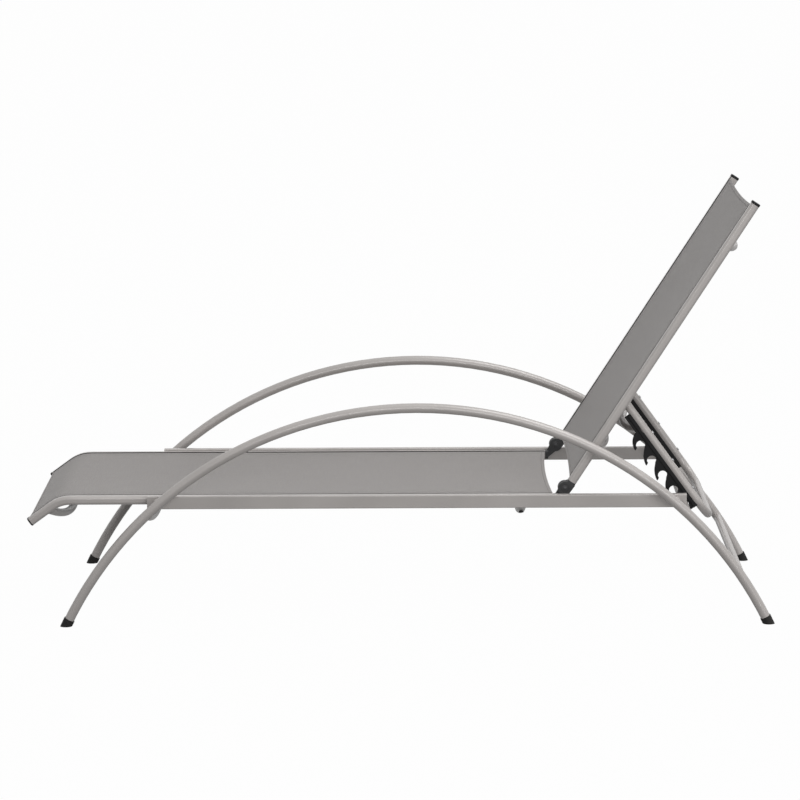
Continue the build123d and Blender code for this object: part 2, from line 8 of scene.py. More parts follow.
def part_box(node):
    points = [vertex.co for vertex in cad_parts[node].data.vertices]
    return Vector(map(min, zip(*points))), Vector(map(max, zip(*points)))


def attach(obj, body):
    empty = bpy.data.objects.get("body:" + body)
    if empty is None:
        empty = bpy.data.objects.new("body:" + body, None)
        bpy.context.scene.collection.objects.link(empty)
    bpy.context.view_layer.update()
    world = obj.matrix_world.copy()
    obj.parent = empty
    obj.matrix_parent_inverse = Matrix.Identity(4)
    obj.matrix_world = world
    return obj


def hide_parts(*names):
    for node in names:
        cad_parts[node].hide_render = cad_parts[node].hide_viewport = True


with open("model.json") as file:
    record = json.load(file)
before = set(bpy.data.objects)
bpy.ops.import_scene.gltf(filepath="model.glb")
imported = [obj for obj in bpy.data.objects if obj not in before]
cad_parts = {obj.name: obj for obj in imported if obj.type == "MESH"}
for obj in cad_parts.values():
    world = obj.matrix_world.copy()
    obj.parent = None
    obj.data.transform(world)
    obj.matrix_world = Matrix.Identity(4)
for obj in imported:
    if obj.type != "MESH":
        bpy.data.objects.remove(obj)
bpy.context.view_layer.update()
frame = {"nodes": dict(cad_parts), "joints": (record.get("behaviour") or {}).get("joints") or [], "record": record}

nodes = frame["nodes"]


def middle(name):
    lo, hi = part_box(name)
    return (lo + hi) / 2


def sideName(side, name):
    # the left side is at -Y, the right side at +Y
    return ("left_" if side < 0 else "right_") + name


def clearSelection():
    bpy.ops.object.select_all(action="DESELECT")


def joinPieces(pieces):
    clearSelection()
    for piece in pieces:
        piece.select_set(True)
    bpy.context.view_layer.objects.active = pieces[0]
    bpy.ops.object.join()


archMiddle = middle("left_bow").x

# Camera, fitted to the photograph's arches, rails and backrest
cameraFit = {
    "x": archMiddle + 0.00253,
    "y": -7.5862,
    "z": 1.90253,
    "yaw": -0.00536,
    "pitch": 0.18768,
    "roll": -0.00541,
    "lens": 148.5,
    "sensor": 36,
    "farEnd": 60,
}


def addCamera(fit):
    data = bpy.data.cameras.new("camera")
    data.lens = fit["lens"]
    data.sensor_width = fit["sensor"]
    data.clip_end = fit["farEnd"]
    eye = bpy.data.objects.new("camera", data)
    bpy.context.collection.objects.link(eye)
    yaw, pitch, roll = fit["yaw"], fit["pitch"], fit["roll"]
    level = math.cos(pitch)
    forward = Vector((math.sin(yaw) * level, math.cos(yaw) * level, -math.sin(pitch)))
    right = Vector((math.cos(yaw), -math.sin(yaw), 0))
    up = right.cross(forward)
    tiltedRight = math.cos(roll) * right + math.sin(roll) * up
    tiltedUp = -math.sin(roll) * right + math.cos(roll) * up
    turn = Matrix((tiltedRight, tiltedUp, -forward)).transposed()
    eye.matrix_world = Matrix.Translation((fit["x"], fit["y"], fit["z"])) @ turn.to_4x4()
    bpy.context.scene.camera = eye


addCamera(cameraFit)
print("camera placed")

# Studio: a big softbox overhead, a front fill, a tall strip on the right and a pale floor
studio = {
    "world": 0.36,
    "lamps": {
        "topSoftbox": {"at": (3.1, -1, 8), "aim": (0, 0, 0.3), "size": (5, 4), "power": 395},
        "frontFill": {"at": (1, -4.8, 1.8), "aim": (0, 0, 0.4), "size": (5, 0.8), "power": 96},
        "rightStrip": {"at": (3.4, -3.6, 1.1), "aim": (0, 0, 0.4), "size": (0.3, 2), "power": 11},
    },
    "floorSize": 60,
    "floorDrop": 0.0006,  # just under the feet
    "floorShare": 0.985,  # white for the camera, the rest takes the shadow
    "floorGloss": 0.4,  # share of that white in reflections
    "floorTone": 0.24,
}


def addLamp(name, spec):
    data = bpy.data.lights.new(name, "AREA")
    data.shape = "RECTANGLE"
    data.size, data.size_y = spec["size"]
    data.energy = spec["power"]
    lamp = bpy.data.objects.new(name, data)
    bpy.context.collection.objects.link(lamp)
    lamp.location = spec["at"]
    direction = Vector(spec["aim"]) - Vector(spec["at"])
    lamp.rotation_euler = direction.to_track_quat("-Z", "Y").to_euler()


def joinMath(tree, operation, first, second):
    node = tree.nodes.new("ShaderNodeMath")
    node.operation = operation
    for k, value in enumerate((first, second)):
        if isinstance(value, (int, float)):
            node.inputs[k].default_value = value
        else:
            tree.links.new(value, node.inputs[k])
    return node.outputs[0]


def backgroundMask(tree, glossShare):
    # one for the camera and through glass, and glossShare in reflections
    path = tree.nodes.new("ShaderNodeLightPath")
    gloss = joinMath(tree, "MULTIPLY", path.outputs["Is Glossy Ray"], glossShare)
    seen = joinMath(tree, "MAXIMUM", path.outputs["Is Camera Ray"], gloss)
    return joinMath(tree, "MAXIMUM", seen, path.outputs["Is Transmission Ray"])


def buildWorld():
    world = bpy.data.worlds.new("studio")
    world.use_nodes = True
    bpy.context.scene.world = world
    tree = world.node_tree
    shown = tree.nodes.new("ShaderNodeBackground")
    lit = tree.nodes["Background"]
    for background, strength in ((shown, 1), (lit, studio["world"])):
        background.inputs["Color"].default_value = (1, 1, 1, 1)
        background.inputs["Strength"].default_value = strength
    mix = tree.nodes.new("ShaderNodeMixShader")
    tree.links.new(backgroundMask(tree, 1.0), mix.inputs[0])
    tree.links.new(lit.outputs[0], mix.inputs[1])
    tree.links.new(shown.outputs[0], mix.inputs[2])
    tree.links.new(mix.outputs[0], tree.nodes["World Output"].inputs[0])


def addFloor():
    clearSelection()
    underFeet = (0, 0, -studio["floorDrop"])
    bpy.ops.mesh.primitive_plane_add(size=studio["floorSize"], location=underFeet)
    floor = bpy.context.object
    floor.name = "studioFloor"
    paper = bpy.data.materials.new("studioPaper")
    paper.use_nodes = True
    tree = paper.node_tree
    tree.nodes.remove(tree.nodes["Principled BSDF"])
    matt = tree.nodes.new("ShaderNodeBsdfDiffuse")
    matt.inputs["Color"].default_value = (*[studio["floorTone"]] * 3, 1)
    glow = tree.nodes.new("ShaderNodeEmission")
    glow.inputs["Strength"].default_value = 1
    mask = backgroundMask(tree, studio["floorGloss"])
    share = joinMath(tree, "MULTIPLY", mask, studio["floorShare"])
    mix = tree.nodes.new("ShaderNodeMixShader")
    tree.links.new(share, mix.inputs[0])
    tree.links.new(matt.outputs[0], mix.inputs[1])
    tree.links.new(glow.outputs[0], mix.inputs[2])
    tree.links.new(mix.outputs[0], tree.nodes["Material Output"].inputs[0])
    floor.data.materials.append(paper)


def buildStudio():
    buildWorld()
    for name, spec in studio["lamps"].items():
        addLamp(name, spec)
    addFloor()
    bpy.context.scene.view_settings.view_transform = "Standard"


buildStudio()
print("studio built")


# Shared shader effects
def startGroup(name, inputs, outputs):
    group = bpy.data.node_groups.new(name, "ShaderNodeTree")
    for label, kind, value in inputs:
        socket = group.interface.new_socket(name=label, in_out="INPUT", socket_type=kind)
        if value is not None:
            socket.default_value = value
    for label, kind in outputs:
        group.interface.new_socket(name=label, in_out="OUTPUT", socket_type=kind)
    return group, group.nodes.new("NodeGroupInput"), group.nodes.new("NodeGroupOutput")


def addNoise(tree, vector, scale, detail=2.0, roughness=0.5):
    node = tree.nodes.new("ShaderNodeTexNoise")
    node.inputs["Detail"].default_value = detail
    node.inputs["Roughness"].default_value = roughness
    tree.links.new(vector, node.inputs["Vector"])
    if isinstance(scale, (int, float)):
        node.inputs["Scale"].default_value = scale
    else:
        tree.links.new(scale, node.inputs["Scale"])
    return node.outputs["Fac"]


def makeGrainGroup():
    # Fine surface grain over a slow drift of tone
    inputs = [
        ("Vector", "NodeSocketVector", None),
        ("Grain Scale", "NodeSocketFloat", 900.0),
        ("Drift Scale", "NodeSocketFloat", 9.0),
    ]
    outputs = [("Grain", "NodeSocketFloat"), ("Drift", "NodeSocketFloat")]
    group, start, end = startGroup("surfaceGrain", inputs, outputs)
    vector = start.outputs["Vector"]
    grain = addNoise(group, vector, start.outputs["Grain Scale"], detail=3.0, roughness=0.6)
    drift = addNoise(group, vector, start.outputs["Drift Scale"])
    group.links.new(grain, end.inputs["Grain"])
    group.links.new(drift, end.inputs["Drift"])
    return group


def yarnStreaks(group, across, along, stretch):
    # noise drawn out along the yarns of one direction
    streak = group.nodes.new("ShaderNodeCombineXYZ")
    group.links.new(joinMath(group, "MULTIPLY", across, stretch[0]), streak.inputs["X"])
    group.links.new(joinMath(group, "MULTIPLY", along, stretch[1]), streak.inputs["Y"])
    return addNoise(group, streak.outputs[0], 1.0)


def makeWeaveGroup():
    # Plain weave of coated yarn, drawn on a cloth map that is in metres
    inputs = [("Vector", "NodeSocketVector", None), ("Yarns Per Metre", "NodeSocketFloat", 900.0)]
    outputs = [("Height", "NodeSocketFloat"), ("Yarn Tone", "NodeSocketFloat")]
    group, start, end = startGroup("meshWeave", inputs, outputs)
    split = group.nodes.new("ShaderNodeSeparateXYZ")
    group.links.new(start.outputs["Vector"], split.inputs[0])
    across = joinMath(group, "MULTIPLY", split.outputs["X"], start.outputs["Yarns Per Metre"])
    along = joinMath(group, "MULTIPLY", split.outputs["Y"], start.outputs["Yarns Per Metre"])
    turns = [joinMath(group, "MULTIPLY", way, math.pi) for way in (across, along)]
    waves = [joinMath(group, "SINE", turn, 0) for turn in turns]
    overUnder = joinMath(group, "MULTIPLY", waves[0], waves[1])
    height = joinMath(group, "ADD", joinMath(group, "MULTIPLY", overUnder, 0.5), 0.5)
    group.links.new(height, end.inputs["Height"])
    stretch = {"short": 0.45, "long": 0.02}
    warp = yarnStreaks(group, across, along, (stretch["short"], stretch["long"]))
    weft = yarnStreaks(group, across, along, (stretch["long"], stretch["short"]))
    tone = joinMath(group, "MULTIPLY", joinMath(group, "ADD", warp, weft), 0.5)
    group.links.new(tone, end.inputs["Yarn Tone"])
    return group


grainGroup = makeGrainGroup()
weaveGroup = makeWeaveGroup()


def startMaterial(name):
    material = bpy.data.materials.new(name)
    material.use_nodes = True
    tree = material.node_tree
    return material, tree, tree.nodes["Principled BSDF"]


def placeGroup(tree, group, **values):
    node = tree.nodes.new("ShaderNodeGroup")
    node.node_tree = group
    for label, value in values.items():
        node.inputs[label.replace("_", " ")].default_value = value
    return node


def placeGrain(tree, place, look):
    grain = placeGroup(
        tree, grainGroup, Grain_Scale=look["grainScale"], Drift_Scale=look["driftScale"]
    )
    tree.links.new(place.outputs["Object"], grain.inputs["Vector"])
    return grain


def toneRamp(tree, factor, stops):
    ramp = tree.nodes.new("ShaderNodeValToRGB")
    for element, (position, colour) in zip(ramp.color_ramp.elements, stops):
        element.position = position
        element.color = (*colour, 1)
    tree.links.new(factor, ramp.inputs[0])
    return ramp.outputs["Color"]


def rangeOf(tree, factor, low, high):
    node = tree.nodes.new("ShaderNodeMapRange")
    node.inputs["To Min"].default_value = low
    node.inputs["To Max"].default_value = high
    tree.links.new(factor, node.inputs["Value"])
    return node.outputs[0]


def addBump(tree, height, strength, distance, shader):
    bump = tree.nodes.new("ShaderNodeBump")
    bump.inputs["Strength"].default_value = strength
    bump.inputs["Distance"].default_value = distance
    tree.links.new(height, bump.inputs["Height"])
    tree.links.new(bump.outputs[0], shader.inputs["Normal"])


def grainedMaterial(name, look):
    # A solid finish: paint, plastic, rubber or plated steel
    material, tree, shader = startMaterial(name)
    place = tree.nodes.new("ShaderNodeTexCoord")
    grain = placeGrain(tree, place, look)
    tone = toneRamp(tree, grain.outputs["Drift"], [(0.3, look["dark"]), (0.7, look["light"])])
    tree.links.new(tone, shader.inputs["Base Color"])
    roughness = rangeOf(tree, grain.outputs["Grain"], *look["rough"])
    tree.links.new(roughness, shader.inputs["Roughness"])
    addBump(tree, grain.outputs["Grain"], look["bump"], look["bumpDepth"], shader)
    shader.inputs["Metallic"].default_value = look.get("metallic", 0.0)
    shader.inputs["Specular IOR Level"].default_value = look.get("gloss", 0.5)
    shader.inputs["Coat Weight"].default_value = look.get("coat", 0.0)
    shader.inputs["Coat Roughness"].default_value = coatRoughness
    return material


coatRoughness = 0.14
finishes = {
    "framePaint": {
        "dark": (0.385, 0.362, 0.348),
        "light": (0.43, 0.405, 0.39),
        "rough": (0.38, 0.5),
        "grainScale": 950,
        "driftScale": 7,
        "bump": 0.05,
        "bumpDepth": 0.0001,
        "metallic": 0.1,
        "gloss": 0.4,
        "coat": 0.45,
    },
    "blackPlastic": {
        "dark": (0.007, 0.007, 0.0075),
        "light": (0.012, 0.012, 0.0125),
        "rough": (0.42, 0.6),
        "grainScale": 1500,
        "driftScale": 20,
        "bump": 0.2,
        "bumpDepth": 0.0002,
        "gloss": 0.17,
    },
    "greyPlastic": {
        "dark": (0.35, 0.33, 0.318),
        "light": (0.39, 0.368, 0.355),
        "rough": (0.45, 0.6),
        "grainScale": 1500,
        "driftScale": 20,
        "bump": 0.15,
        "bumpDepth": 0.0002,
    },
    "hingePlastic": {
        "dark": (0.028, 0.028, 0.029),
        "light": (0.042, 0.042, 0.043),
        "rough": (0.36, 0.5),
        "grainScale": 1300,
        "driftScale": 25,
        "bump": 0.2,
        "bumpDepth": 0.0002,
        "gloss": 0.35,
    },
    "footRubber": {
        "dark": (0.012, 0.012, 0.012),
        "light": (0.022, 0.021, 0.02),
        "rough": (0.55, 0.75),
        "grainScale": 1100,
        "driftScale": 30,
        "bump": 0.3,
        "bumpDepth": 0.0003,
        "gloss": 0.2,
    },
    # painted shade: the dark colour of the cord that stands for the shadow in each slot's mouth
    "slotShadowColour": {
        "dark": (0.04, 0.038, 0.037),
        "light": (0.06, 0.057, 0.055),
        "rough": (0.6, 0.8),
        "grainScale": 1500,
        "driftScale": 30,
        "bump": 0.2,
        "bumpDepth": 0.0002,
        "gloss": 0.15,
    },
    "platedSteel": {
        "dark": (0.42, 0.42, 0.43),
        "light": (0.52, 0.52, 0.52),
        "rough": (0.28, 0.42),
        "grainScale": 2200,
        "driftScale": 40,
        "bump": 0.1,
        "bumpDepth": 0.0001,
        "metallic": 0.9,
    },
    "hemThread": {
        "dark": (0.16, 0.15, 0.145),
        "light": (0.22, 0.205, 0.2),
        "rough": (0.6, 0.8),
        "grainScale": 2500,
        "driftScale": 60,
        "bump": 0.4,
        "bumpDepth": 0.0003,
    },
}
materials = {name: grainedMaterial(name, look) for name, look in finishes.items()}


clothLook = {
    "yarns": 850,
    "dark": (0.215, 0.2, 0.192),
    "light": (0.262, 0.244, 0.236),
    "toneSpan": (0.32, 0.68),
    "weaveShade": (0.84, 1.1),
    "driftShade": (0.96, 1.04),
    "grainScale": 400,
    "driftScale": 3.0,
    "rough": (0.72, 0.55),
    "bump": 0.5,
    "bumpDepth": 0.0004,
    "sheen": 0.15,
    "sheenRoughness": 0.5,
}


def slingMaterial(name, look):
    material, tree, shader = startMaterial(name)
    place = tree.nodes.new("ShaderNodeTexCoord")
    weave = placeGroup(tree, weaveGroup, Yarns_Per_Metre=look["yarns"])
    tree.links.new(place.outputs["UV"], weave.inputs["Vector"])
    drift = placeGrain(tree, place, look)
    stops = list(zip(look["toneSpan"], (look["dark"], look["light"])))
    yarn = toneRamp(tree, weave.outputs["Yarn Tone"], stops)
    mix = tree.nodes.new("ShaderNodeMix")
    mix.data_type = "RGBA"
    mix.blend_type = "MULTIPLY"
    mix.inputs["Factor"].default_value = 1.0
    tree.links.new(yarn, mix.inputs["A"])
    weaveShade = rangeOf(tree, weave.outputs["Height"], *look["weaveShade"])
    driftShade = rangeOf(tree, drift.outputs["Drift"], *look["driftShade"])
    shade = joinMath(tree, "MULTIPLY", weaveShade, driftShade)
    grey = tree.nodes.new("ShaderNodeCombineColor")
    for k in range(3):
        tree.links.new(shade, grey.inputs[k])
    tree.links.new(grey.outputs[0], mix.inputs["B"])
    tree.links.new(mix.outputs["Result"], shader.inputs["Base Color"])
    roughness = rangeOf(tree, weave.outputs["Height"], *look["rough"])
    tree.links.new(roughness, shader.inputs["Roughness"])
    addBump(tree, weave.outputs["Height"], look["bump"], look["bumpDepth"], shader)
    shader.inputs["Sheen Weight"].default_value = look["sheen"]
    shader.inputs["Sheen Roughness"].default_value = look["sheenRoughness"]
    return material


materials["slingCloth"] = slingMaterial("slingCloth", clothLook)

slotFinish = {
    "frame_paint": "framePaint",
    "black_plastic": "blackPlastic",
    "grey_plastic": "greyPlastic",
    "hinge_plastic": "hingePlastic",
    "plated_steel": "platedSteel",
    "rubber": "footRubber",
    "fabric": "slingCloth",
}
slotOf = {row["node"]: row["material_slot"] for row in frame["record"]["subparts"]}


def dressFrame():
    for name, part in nodes.items():
        finish = materials[slotFinish[slotOf[name]]]
        for slot in part.material_slots:
            slot.material = finish


dressFrame()
print("frame dressed")


def selectOnly(piece):
    clearSelection()
    piece.select_set(True)
    bpy.context.view_layer.objects.active = piece


def finishPiece(piece, name, body, finish, smooth=40):
    # smooth is the largest angle, in degrees, that is shaded as one surface
    piece.name = name
    piece.data.name = name
    piece.data.materials.clear()
    piece.data.materials.append(materials[finish])
    selectOnly(piece)
    bpy.ops.object.transform_apply(location=True, rotation=True, scale=True)
    bpy.ops.object.shade_smooth_by_angle(angle=math.radians(smooth))
    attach(piece, body)
    return piece


def applyAll(piece):
    selectOnly(piece)
    for modifier in list(piece.modifiers):
        bpy.ops.object.modifier_apply(modifier=modifier.name)


def addRun(piece, count, offset):
    # a row of copies
    run = piece.modifiers.new("run", "ARRAY")
    run.count = count
    run.use_relative_offset = False
    run.use_constant_offset = True
    run.constant_offset_displace = offset
    return run


# Slings: stretched cloth between the side tubes, drawn in at its free edges
seatSling = {
    "rear": 0.310,
    "level": 0.2886,
    "bendStart": -0.78863,
    "bendRadius": 0.0836,
    "bend": 36,
    "leg": 0.05313,
    "halfWidth": 0.2371,
    "tongue": 0.004,
    "sag": 0.005,
    "sagPast": 0.02,  # how far the sag runs into the bend
    "rearDraw": 0.008,
    "thickness": 0.0011,
    "hem": 0.011,
}
backSling = {
    "start": 0.026,
    "end": 0.767,
    "offset": 0.0022,
    "angle": 57.2,
    "halfWidth": 0.2371,
    "tongue": 0.004,
    "sag": 0.004,
    "draw": 0.006,
    "thickness": 0.0011,
    "hem": 0.011,
}


def seatLength(spec):
    straight = spec["rear"] - spec["bendStart"]
    return straight + spec["bendRadius"] * math.radians(spec["bend"]) + spec["leg"]


def backLength(spec):
    return spec["end"] - spec["start"]


def flatWidth(spec):
    return 2 * (spec["halfWidth"] + spec["tongue"])


def intoSlot(spec, y, lift):
    # past the inner face of a tube the cloth turns down into its slot
    beyond = max(0.0, abs(y) - spec["halfWidth"]) * math.sqrt(0.5)
    if beyond:
        y = math.copysign(spec["halfWidth"] + beyond, y)
    return y, lift - beyond, max(0.0, 1 - (y / spec["halfWidth"]) ** 2)


def onSeat(spec, y, s, lift):
    # s runs from the rear edge to the foot edge
    y, lift, bow = intoSlot(spec, y, lift)
    straight = spec["rear"] - spec["bendStart"]
    arc = spec["bendRadius"] * math.radians(spec["bend"])
    s = s + bow * spec["rearDraw"] * (1 - s / seatLength(spec))
    if s < straight:
        x, z, turn = spec["rear"] - s, spec["level"], 0.0
    elif s < straight + arc:
        turn = (s - straight) / spec["bendRadius"]
        x = spec["bendStart"] - spec["bendRadius"] * math.sin(turn)
        z = spec["level"] - spec["bendRadius"] * (1 - math.cos(turn))
    else:
        turn = math.radians(spec["bend"])
        rest = s - straight - arc
        x = spec["bendStart"] - spec["bendRadius"] * math.sin(turn) - rest * math.cos(turn)
        z = spec["level"] - spec["bendRadius"] * (1 - math.cos(turn)) - rest * math.sin(turn)
    up = Vector((-math.sin(turn), 0, math.cos(turn)))
    # the cloth gives most along the middle and hardly at all over the bend
    sagEnd = straight + spec["sagPast"]
    give = 0.0
    if s < sagEnd:
        give = spec["sag"] * bow * math.sin(math.pi * min(1.0, max(0.0, s) / sagEnd)) ** 0.5
    return Vector((x + archMiddle, y, z)) + up * (lift - give)


hingeJoint = next(joint for joint in frame["joints"] if joint["name"] == "backrest_hinge")
hingeAxis = Vector(hingeJoint["pos_m"])


def onBack(spec, y, s, lift):
    # s runs from the lower edge to the upper edge
    y, lift, bow = intoSlot(spec, y, lift)
    total = backLength(spec)
    s = s + bow * spec["draw"] * (1 - 2 * s / total)
    angle = math.radians(spec["angle"])
    along = Vector((math.cos(angle), 0, math.sin(angle)))
    front = Vector((-math.sin(angle), 0, math.cos(angle)))
    give = spec["sag"] * bow * math.sin(math.pi * min(1.0, max(0.0, s / total)))
    point = hingeAxis + along * (spec["start"] + s) + front * (spec["offset"] + lift - give)
    return point + Vector((0, y, 0))


def mapPiece(piece, place, spec):
    # x is the width, y the length from the first edge, z the height over the cloth
    for vertex in piece.data.vertices:
        x, y, z = vertex.co
        vertex.co = place(spec, x, y, z)


def mapCloth(piece, layer):
    # the cloth map is in metres: x across, y from the first edge
    for loop in piece.data.loops:
        co = piece.data.vertices[loop.vertex_index].co
        layer.data[loop.index].uv = (co.x, co.y)


clothGrid = {"columns": 80, "rowPitch": 0.012}


def addClothGrid(width, length):
    clearSelection()
    columns, rows = clothGrid["columns"], int(length / clothGrid["rowPitch"])
    bpy.ops.mesh.primitive_grid_add(
        x_subdivisions=columns, y_subdivisions=rows, size=1, calc_uvs=True
    )
    cloth = bpy.context.object
    for vertex in cloth.data.vertices:
        vertex.co = (vertex.co.x * width, (vertex.co.y + 0.5) * length, 0)
    mapCloth(cloth, cloth.data.uv_layers.active)
    return cloth


def addThickness(piece, thickness):
    solid = piece.modifiers.new("thickness", "SOLIDIFY")
    solid.thickness = thickness
    solid.offset = 0
    applyAll(piece)


hemFold = {
    "height": 0.002,
    "inset": 0.004,
    "round": 0.0008,
    "cuts": 48,
    "past": 0.0006,  # how far the fold stands past the cloth's edge
    "drop": 0.0007,
}


def addHem(name, body, place, spec, length, atStart):
    # The folded edge: a second layer under the cloth with a rounded fold
    hem, fold = spec["hem"], hemFold
    width = 2 * spec["halfWidth"] - fold["inset"]
    clearSelection()
    bpy.ops.mesh.primitive_cube_add(size=1)
    strip = bpy.context.object
    strip.scale = (width, hem, fold["height"])
    bpy.ops.object.transform_apply(location=False, rotation=False, scale=True)
    bpy.ops.object.mode_set(mode="EDIT")
    bpy.ops.mesh.select_all(action="SELECT")
    bpy.ops.mesh.bevel(offset=fold["round"], segments=3)
    for k in range(1, fold["cuts"]):
        bpy.ops.mesh.select_all(action="SELECT")
        bpy.ops.mesh.bisect(plane_co=((k / fold["cuts"] - 0.5) * width, 0, 0), plane_no=(1, 0, 0))
    bpy.ops.object.mode_set(mode="OBJECT")
    middleY = hem / 2 - fold["past"] if atStart else length - hem / 2 + fold["past"]
    for vertex in strip.data.vertices:
        vertex.co.y += middleY
        vertex.co.z -= fold["drop"]
    mapCloth(strip, strip.data.uv_layers.active or strip.data.uv_layers.new(name="cloth"))
    mapPiece(strip, place, spec)
    return finishPiece(strip, name, body, "slingCloth")


hemStitch = {
    "size": (0.0014, 0.00045, 0.00035),
    "pitch": 0.0038,
    "ends": 0.012,
    "lift": 0.00072,
    "toEdge": 0.004,
}
sideStitch = {
    "size": (0.00045, 0.0015, 0.0003),
    "pitch": 0.004,
    "inset": 0.022,
    "lift": 0.00062,
}


def addStitchRow(stitching, count, offset, start):
    # one row of stitches on the flat cloth, from its start point
    clearSelection()
    bpy.ops.mesh.primitive_ico_sphere_add(subdivisions=1, radius=1)
    stitch = bpy.context.object
    stitch.scale = stitching["size"]
    bpy.ops.object.transform_apply(location=False, rotation=False, scale=True)
    addRun(stitch, count, offset)
    applyAll(stitch)
    for vertex in stitch.data.vertices:
        vertex.co.x += start[0]
        vertex.co.y += start[1]
        vertex.co.z += stitching["lift"]
    return stitch


def finishStitches(rows, name, body, place, spec):
    joinPieces(rows)
    seam = bpy.context.object
    mapPiece(seam, place, spec)
    return finishPiece(seam, name, body, "hemThread", smooth=80)


def addHemStitches(name, body, place, spec, length):
    pitch = hemStitch["pitch"]
    count = int((2 * spec["halfWidth"] - hemStitch["ends"]) / pitch)
    inner = spec["hem"] - hemStitch["toEdge"]
    first = -pitch * (count - 1) / 2
    rows = []
    for position in (inner, length - inner):
        rows.append(addStitchRow(hemStitch, count, (pitch, 0, 0), (first, position)))
    return finishStitches(rows, name, body, place, spec)


def addSideSeams(name, body, place, spec, length):
    # the pocket that holds the edge rod is sewn down along each side
    pitch = sideStitch["pitch"]
    count = int((length - 2 * spec["hem"]) / pitch)
    rows = []
    for side in (-1, 1):
        start = (side * (spec["halfWidth"] - sideStitch["inset"]), spec["hem"] + pitch / 2)
        rows.append(addStitchRow(sideStitch, count, (0, pitch, 0), start))
    return finishStitches(rows, name, body, place, spec)


# Painted shade: a dark cord that stands for the shadow gap where the cloth enters each slot
slotShadowCord = {
    "radius": 0.00095,
    "out": 0.0016,
    "up": 0.0011,
    "step": 0.012,
    "ends": 0.001,
    "facets": 10,
    "merge": 0.00001,
}


def addSlotShadowCord(name, body, place, spec, length):
    # painted shade: a dark cord pressed into the mouth of each slot beside the cloth, standing for the shadow gap
    # between tube and cloth
    gapShade = slotShadowCord
    count = int(length / gapShade["step"])
    step = (length - 2 * gapShade["ends"]) / count
    cords = []
    for side in (-1, 1):
        clearSelection()
        bpy.ops.mesh.primitive_cylinder_add(
            vertices=gapShade["facets"],
            radius=gapShade["radius"],
            depth=step,
            end_fill_type="NOTHING",
            rotation=(math.pi / 2, 0, 0),
        )
        cord = bpy.context.object
        bpy.ops.object.transform_apply(location=False, rotation=True, scale=False)
        run = addRun(cord, count, (0, step, 0))
        run.use_merge_vertices = True
        run.merge_threshold = gapShade["merge"]
        applyAll(cord)
        bpy.ops.object.mode_set(mode="EDIT")
        bpy.ops.mesh.select_all(action="SELECT")
        bpy.ops.mesh.fill_holes(sides=gapShade["facets"] + 2)
        bpy.ops.mesh.normals_make_consistent(inside=False)
        bpy.ops.object.mode_set(mode="OBJECT")
        for vertex in cord.data.vertices:
            across, along, lift = vertex.co
            along = along + step / 2 + gapShade["ends"]
            edge = place(spec, side * spec["halfWidth"], along, gapShade["up"] + lift)
            vertex.co = (edge.x, edge.y + side * (gapShade["out"] + across), edge.z)
        cords.append(cord)
    joinPieces(cords)
    return finishPiece(bpy.context.object, name, body, "slotShadowColour", smooth=70)


def makeSling(name, body, node, place, spec, length):
    cloth = addClothGrid(flatWidth(spec), length)
    mapPiece(cloth, place, spec)
    addThickness(cloth, spec["thickness"])
    finishPiece(cloth, name, body, "slingCloth", smooth=60)
    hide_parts(node)
    first = addHem(name + "FirstHem", body, place, spec, length, True)
    last = addHem(name + "LastHem", body, place, spec, length, False)
    seam = addHemStitches(name + "Stitches", body, place, spec, length)
    sides = addSideSeams(name + "SideSeams", body, place, spec, length)
    # the dark slot cord is painted shade along the cloth's side edges
    addSlotShadowCord(name + "SlotShadowCord", body, place, spec, length)
    print(name, "made")


makeSling("seatCloth", "base", "seat_sling", onSeat, seatSling, seatLength(seatSling))
makeSling("backCloth", "backrest", "backrest_sling", onBack, backSling, backLength(backSling))

# Weld beads where the tubes meet
weldBead = {
    "thickness": 0.00125,
    "ripple": 0.16,
    "ripplePitch": 0.0024,
    "facets": (72, 8),
    "sink": 0.0002,
    "rimDepth": 0.00005,  # points this near the outermost one make a bar's flat end
}
random.seed(7)


def endRing(name, side):
    # centre, radii and height of a bar's flat end on one side, read from its outermost points
    points = [v.co for v in nodes[name].data.vertices]
    edge = max(side * p.y for p in points)
    rim = [p for p in points if side * p.y > edge - weldBead["rimDepth"]]
    lowX, highX = min(p.x for p in rim), max(p.x for p in rim)
    lowZ, highZ = min(p.z for p in rim), max(p.z for p in rim)
    centre = ((lowX + highX) / 2, (lowZ + highZ) / 2)
    radii = ((highX - lowX) / 2, (highZ - lowZ) / 2)
    return centre, radii, side * edge


def ringOfBead(centre, radii, place):
    # a rippled ring; place(x, z) gives the place along Y at which it runs
    clearSelection()
    thin = 0.1  # thickness of the torus before it is scaled
    around, across = weldBead["facets"]
    bpy.ops.mesh.primitive_torus_add(
        major_radius=1, minor_radius=thin, major_segments=around, minor_segments=across
    )
    ring = bpy.context.object
    phase = random.uniform(0, 6.28)
    waves = round(math.pi * (radii[0] + radii[1]) / weldBead["ripplePitch"])
    for vertex in ring.data.vertices:
        angle = math.atan2(vertex.co.y, vertex.co.x)
        ripple = 1 + weldBead["ripple"] * math.sin(waves * angle + phase)
        swell = weldBead["thickness"] / thin * ripple
        out = (math.hypot(vertex.co.x, vertex.co.y) - 1) * swell
        x = centre[0] + (radii[0] + out) * math.cos(angle)
        z = centre[1] + (radii[1] + out) * math.sin(angle)
        vertex.co = (x, place(x, z) + vertex.co.z * swell, z)
    return ring


def onPlane(y):
    return lambda x, z: y


footBand = 0.0004  # points this near its lowest one give an arch tube's reach


def archCircle():
    # the arch tube's centreline circle, from its height and its reach at the floor
    lo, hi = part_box("left_bow")
    tube = (hi.y - lo.y) / 2
    top = hi.z - tube
    points = [v.co for v in nodes["left_bow"].data.vertices]
    reaches = [abs(p.x - archMiddle) for p in points if p.z < lo.z + footBand]
    reach = (max(reaches) + min(reaches)) / 2
    radius = (reach**2 + (top - lo.z) ** 2) / (2 * (top - lo.z))
    return {"z": top - radius, "radius": radius, "tube": tube}


